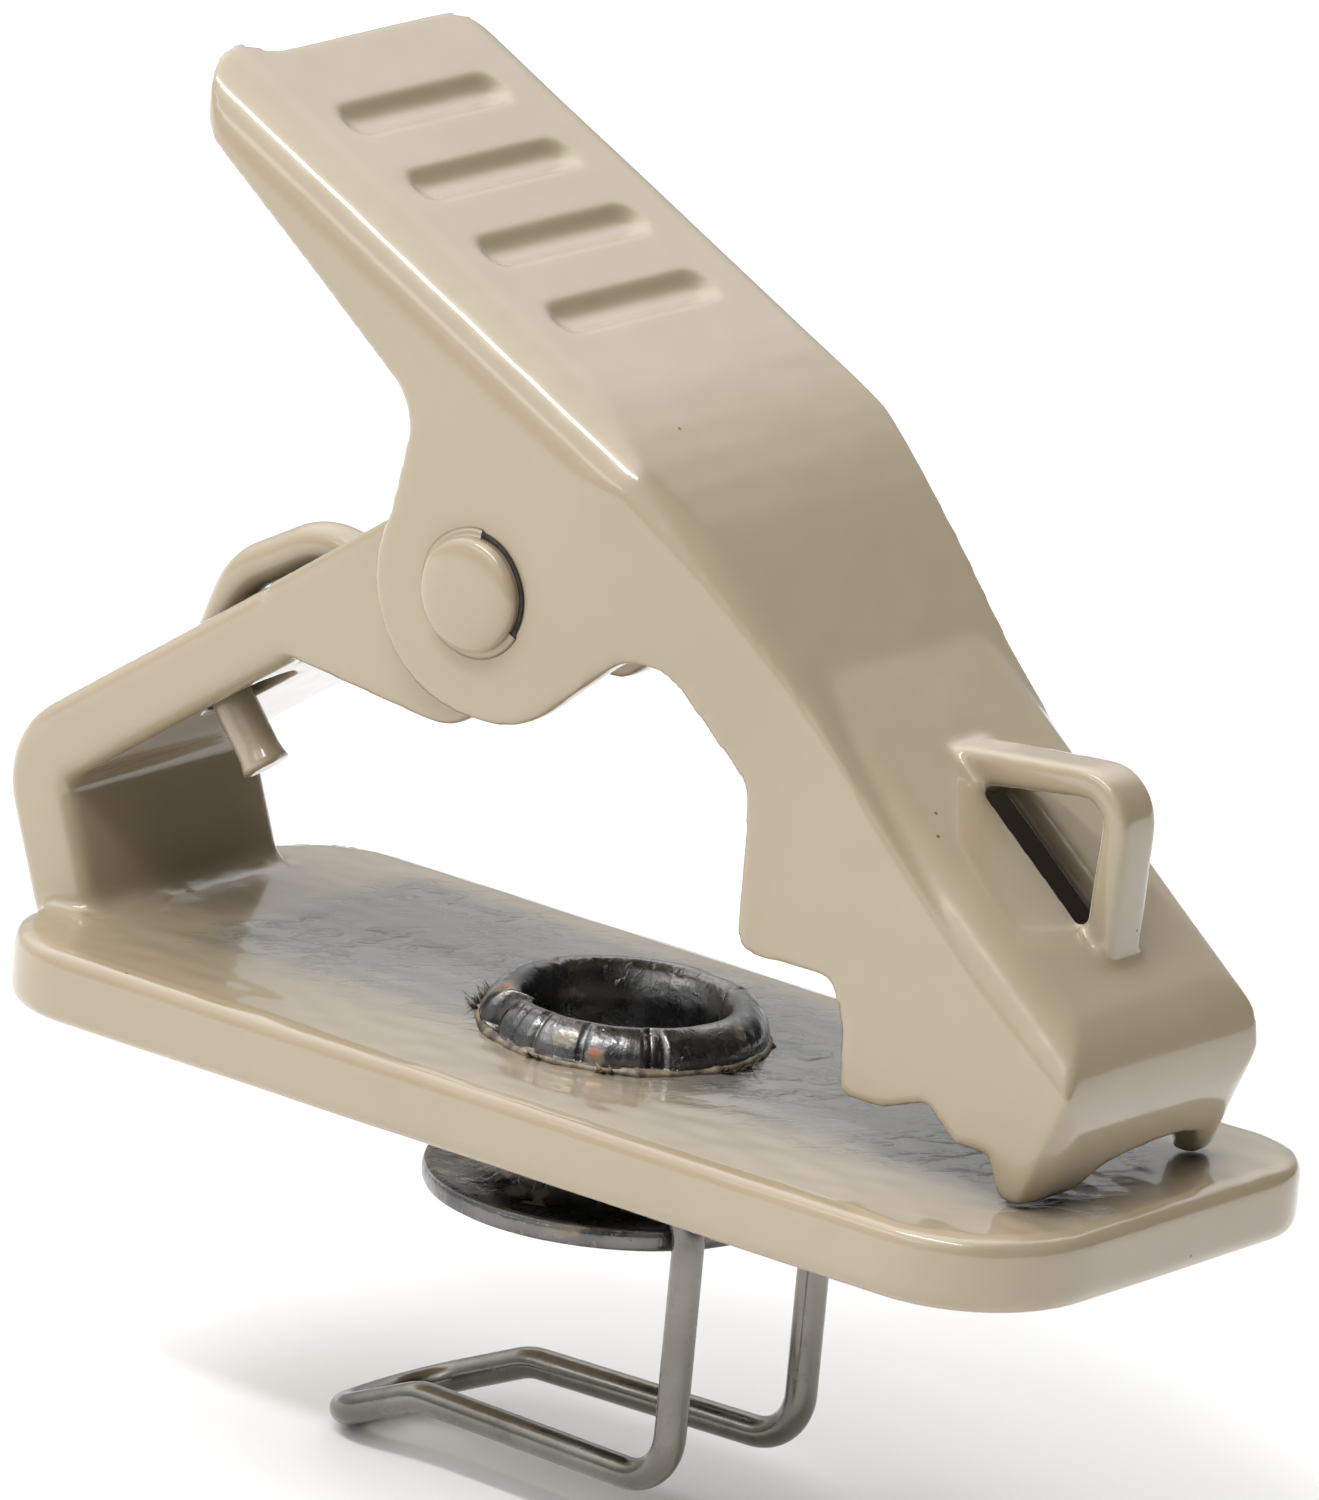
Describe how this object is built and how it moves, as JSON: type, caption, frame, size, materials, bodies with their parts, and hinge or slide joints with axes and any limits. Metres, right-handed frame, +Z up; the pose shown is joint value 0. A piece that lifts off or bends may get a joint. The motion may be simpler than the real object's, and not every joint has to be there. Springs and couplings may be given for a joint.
{
  "type": "miniature microphone spring clip",
  "caption": "Painted spring jaw clip with a toothed upper jaw, a flat lower jaw with an eyelet, and a swivelling wire cradle for a miniature microphone.",
  "frame": {"origin": "on the eyelet's axis, level with the top face of the lower jaw's plate", "axes": "+X towards the nose, +Y across the jaws, +Z up from the plate towards the upper jaw"},
  "size_m": [0.0271, 0.011, 0.0278],
  "materials": {
    "beige_enamel": "glossy beige enamel with fine ripples",
    "painted_spring": "spring wire under the same beige enamel",
    "dark_eyelet": "blackened metal, scratched, with worn edges",
    "cradle_wire": "bright drawn stainless wire"
  },
  "bodies": {
    "base": {"lower_jaw": "beige_enamel", "hinge_rivet": "beige_enamel", "torsion_spring": "painted_spring", "eyelet": "dark_eyelet"},
    "lever": {"upper_jaw": "beige_enamel"},
    "cradle": {"mic_cradle": "cradle_wire"}
  },
  "joints": [
    {"name": "jaw_hinge", "type": "hinge", "parent": "base", "child": "lever", "pos_m": [-0.00175, 0, 0.00915], "axis": [0, -1, 0], "range_deg": [0, 30], "stiffness_Nm_per_rad": 0.01, "springref_deg": -57.3, "deforming": ["torsion_spring"]},
    {"name": "cradle_swivel", "type": "hinge", "parent": "base", "child": "cradle", "pos_m": [0, 0, 0], "axis": [0, 0, 1], "continuous": true}
  ]
}
